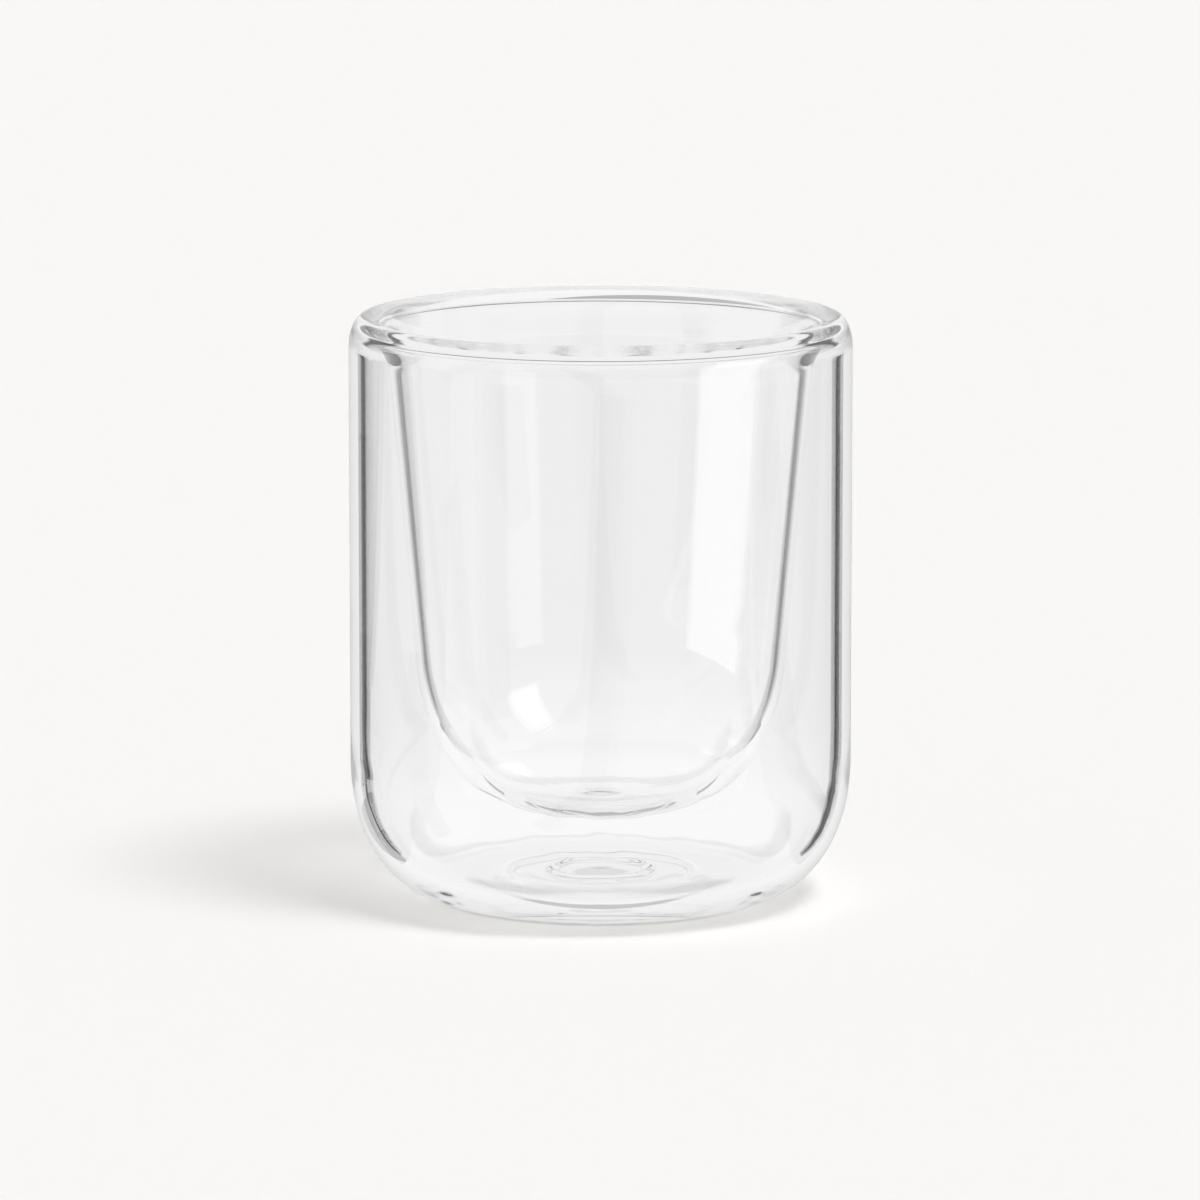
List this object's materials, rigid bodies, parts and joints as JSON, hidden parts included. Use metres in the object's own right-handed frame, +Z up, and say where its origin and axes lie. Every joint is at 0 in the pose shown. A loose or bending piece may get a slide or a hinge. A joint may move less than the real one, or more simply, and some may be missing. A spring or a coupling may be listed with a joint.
{
  "type": "double-walled coffee glass",
  "caption": "Clear double-walled coffee glass: straight outer wall with a soft heel, tapered inner cup hanging from a welded round rim, sealed vent in the base.",
  "frame": {"origin": "on the axis, level with the flat foot ring that the glass stands on", "axes": "+Z up along the axis towards the rim, +X and +Y level; the glass is round, so any azimuth is alike"},
  "size_m": [0.075, 0.075, 0.0877],
  "materials": {
    "outer_glass": "clear fire-polished borosilicate",
    "inner_glass": "clear fire-polished borosilicate",
    "rim_weld": "clear borosilicate, melted round",
    "vent_button": "clear borosilicate, melted shut"
  },
  "bodies": {
    "root": {"outer_glass": "outer_glass", "inner_glass": "inner_glass", "rim_weld": "rim_weld", "vent_button": "vent_button"}
  },
  "joints": []
}
